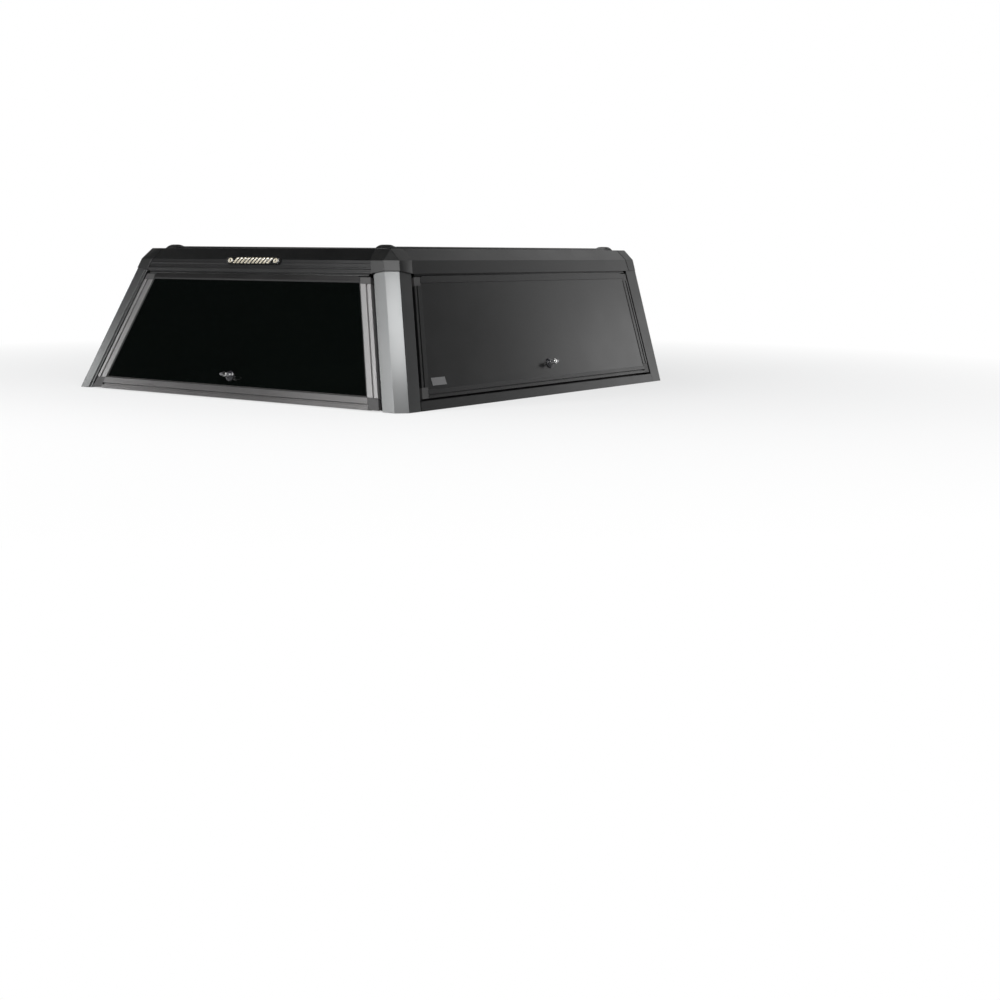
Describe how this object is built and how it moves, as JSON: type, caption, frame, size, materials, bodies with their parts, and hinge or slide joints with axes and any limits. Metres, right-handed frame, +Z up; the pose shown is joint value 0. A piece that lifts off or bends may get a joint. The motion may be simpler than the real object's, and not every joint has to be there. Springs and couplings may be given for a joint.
{
  "type": "hinged pickup bed canopy",
  "caption": "Satin black aluminium canopy for a pickup bed, with a lift-up glazed rear hatch, lift-up side doors, T-handle locks, a high brake light and roof tracks.",
  "frame": {"origin": "middle of the footprint, on the plane of the bed rails", "axes": "+X is the right-hand side, +Y points to the cab, +Z is up; the hatch faces -Y"},
  "size_m": [1.728, 1.826, 0.571],
  "materials": {
    "painted": "satin black powder coat on sheet and extrusion",
    "pillar_coat": "satin black powder coat on extruded bars",
    "cast_black": "matt black moulded caps and connectors",
    "rubber": "matt black seal",
    "dark_glass": "dark privacy glass",
    "lamp_clear": "clear lens over reflectors",
    "lock_black": "smooth black lock body",
    "bright_metal": "polished key cylinder",
    "plate_metal": "bare plain plate"
  },
  "bodies": {
    "canopy": {"base_rail_left": "painted", "base_rail_right": "painted", "base_rail_front": "painted", "rear_pillar_left": "pillar_coat", "rear_pillar_right": "pillar_coat", "front_pillar_left": "pillar_coat", "front_pillar_right": "pillar_coat", "side_header_left": "painted", "side_header_right": "painted", "rear_header": "painted", "front_header": "painted", "roof_panel": "painted", "roof_track_left": "painted", "roof_track_right": "painted", "roof_track_ends": "cast_black", "rear_cap_left": "cast_black", "rear_cap_right": "cast_black", "front_caps": "cast_black", "brake_light_housing": "cast_black", "brake_light_lens": "lamp_clear", "front_window": "dark_glass", "hatch_seal": "rubber", "door_seals": "rubber"},
    "rear_hatch": {"hatch_top_rail": "pillar_coat", "hatch_bottom_rail": "pillar_coat", "hatch_stiles": "pillar_coat", "hatch_corners": "cast_black", "hatch_glass": "dark_glass", "hatch_lip_seal": "rubber", "hatch_lock": "lock_black"},
    "door_left": {"door_frame_left": "painted", "door_corners_left": "cast_black", "door_panel_left": "painted", "door_lock_left": "lock_black", "door_plate_left": "plate_metal"},
    "door_right": {"door_frame_right": "painted", "door_corners_right": "cast_black", "door_panel_right": "painted", "door_lock_right": "lock_black", "door_plate_right": "plate_metal"},
    "hatch_turn_handle": {"hatch_handle": "lock_black", "hatch_key": "bright_metal"},
    "door_turn_handle_left": {"door_handle_left": "lock_black", "door_key_left": "bright_metal"},
    "door_turn_handle_right": {"door_handle_right": "lock_black", "door_key_right": "bright_metal"}
  },
  "joints": [
    {"name": "hatch_hinge", "type": "hinge", "parent": "canopy", "child": "rear_hatch", "pos_m": [0, -0.74746, 0.4602], "axis": [-1, 0, 0], "range_deg": [0, 85]},
    {"name": "door_hinge_right", "type": "hinge", "parent": "canopy", "child": "door_right", "pos_m": [0.6863, 0, 0.46008], "axis": [0, -1, 0], "range_deg": [0, 85]},
    {"name": "door_hinge_left", "type": "hinge", "parent": "canopy", "child": "door_left", "pos_m": [-0.6863, 0, 0.46008], "axis": [0, 1, 0], "range_deg": [0, 85]},
    {"name": "hatch_handle_turn", "type": "hinge", "parent": "rear_hatch", "child": "hatch_turn_handle", "pos_m": [0, -0.87972, 0.08369], "axis": [0, -0.9447, 0.3279], "range_deg": [0, 90]},
    {"name": "door_handle_turn_right", "type": "hinge", "parent": "door_right", "child": "door_turn_handle_right", "pos_m": [0.81805, 0.04336, 0.1173], "axis": [0.9368, 0, 0.3499], "range_deg": [0, 90]},
    {"name": "door_handle_turn_left", "type": "hinge", "parent": "door_left", "child": "door_turn_handle_left", "pos_m": [-0.81805, 0.04336, 0.1173], "axis": [-0.9368, 0, 0.3499], "range_deg": [0, 90]}
  ]
}
